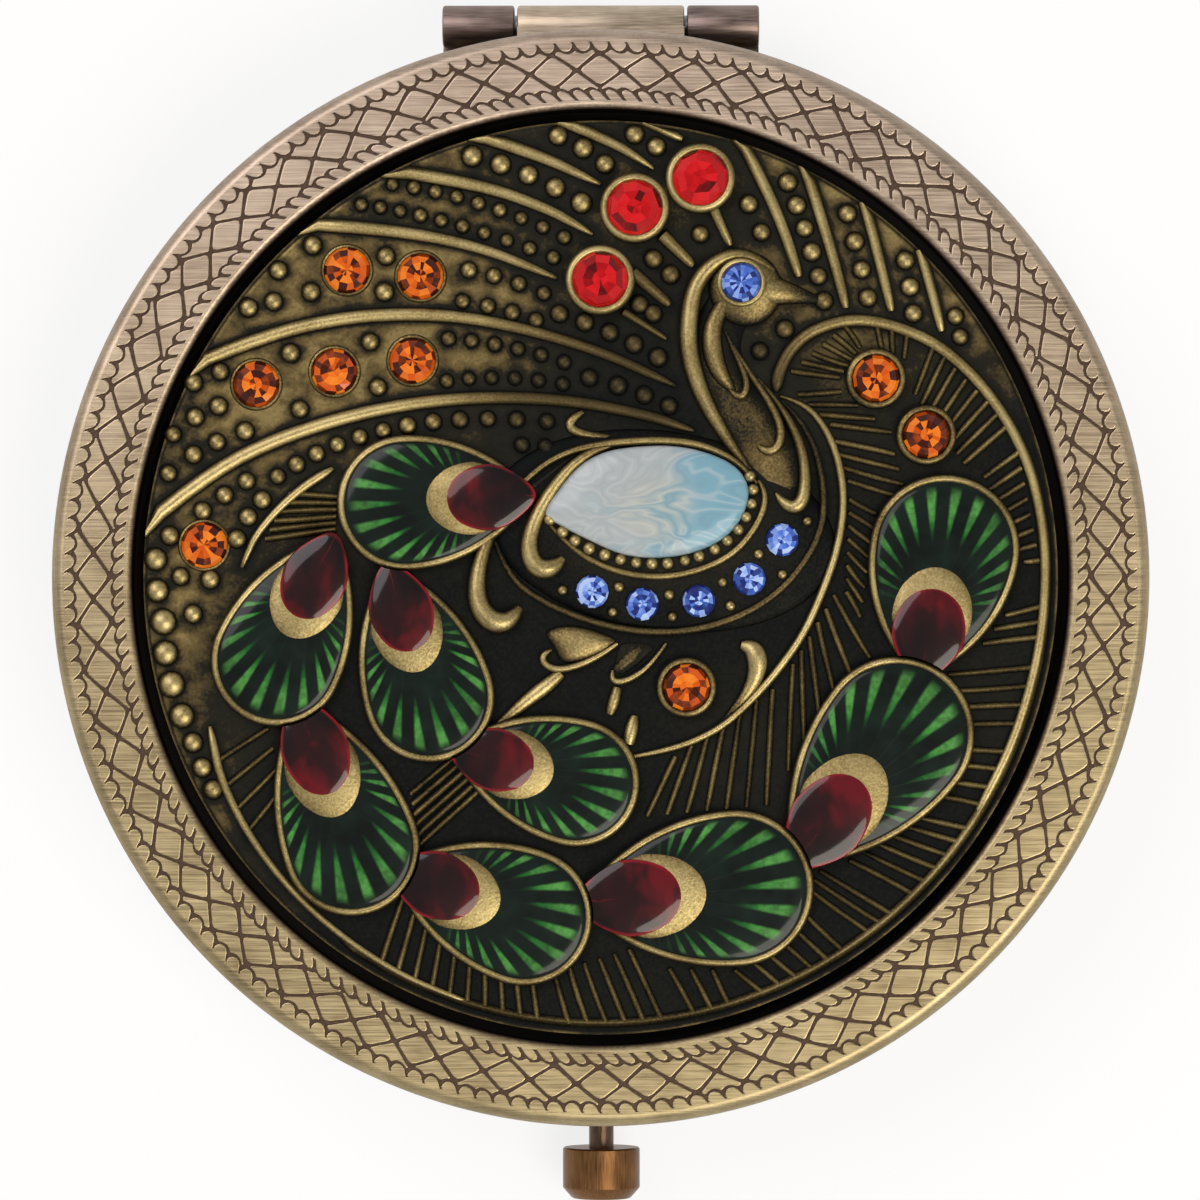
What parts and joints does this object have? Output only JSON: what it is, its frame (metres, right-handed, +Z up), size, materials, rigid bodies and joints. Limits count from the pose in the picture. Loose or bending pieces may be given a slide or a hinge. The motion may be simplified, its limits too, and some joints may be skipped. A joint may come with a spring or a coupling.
{
  "type": "compact mirror",
  "caption": "Round hinged purse compact with a jewelled peacock medallion on an engraved lid, a mirror in each half and a sprung push button that frees the lid.",
  "frame": {"origin": "centre of the flat underside, on the axis of the round case", "axes": "+Z up through the lid, +Y towards the hinge, -Y towards the push button"},
  "size_m": [0.07, 0.0774, 0.0125],
  "materials": {
    "case_brass": "satin, rubbed, with dark patina in the engraving",
    "bezel_brass": "satin",
    "mirror": "polished",
    "hinge_dark": "dark patina",
    "hinge_bright": "satin",
    "latch_steel": "plain",
    "button_copper": "satin, copper toned",
    "medallion_brass": "cast, dark patina with rubbed ridges",
    "green_enamel": "clear gloss",
    "red_enamel": "clear gloss",
    "pearl": "pearl gloss",
    "red_glass": "faceted, foil backed",
    "amber_glass": "faceted, foil backed",
    "blue_glass": "faceted, foil backed"
  },
  "bodies": {
    "base": {"base_shell": "case_brass", "base_bezel": "bezel_brass", "base_mirror": "mirror", "hinge_base_leaf": "hinge_dark", "hinge_pin": "latch_steel", "latch_housing": "latch_steel", "latch_spring": "latch_steel"},
    "button": {"button_knob": "button_copper", "button_stem": "button_copper", "latch_slide": "latch_steel"},
    "lid": {"lid_shell": "case_brass", "lid_bezel": "bezel_brass", "lid_mirror": "mirror", "hinge_lid_leaf": "hinge_bright", "lid_catch": "latch_steel", "medallion": "medallion_brass", "feather_enamel": "green_enamel", "feather_drops": "red_enamel", "body_cabochon": "pearl", "red_stones": "red_glass", "amber_stones": "amber_glass", "blue_stones": "blue_glass"}
  },
  "joints": [
    {"name": "lid_hinge", "type": "hinge", "parent": "base", "child": "lid", "pos_m": [0, 0.03585, 0.0066], "axis": [-1, 0, 0], "range_deg": [0, 175]},
    {"name": "button_press", "type": "slide", "parent": "base", "child": "button", "axis": [0, 1, 0], "range_m": [0, 0.0009], "stiffness_N_per_m": 600, "springref_m": -0.001, "deforming": ["latch_spring"]}
  ]
}
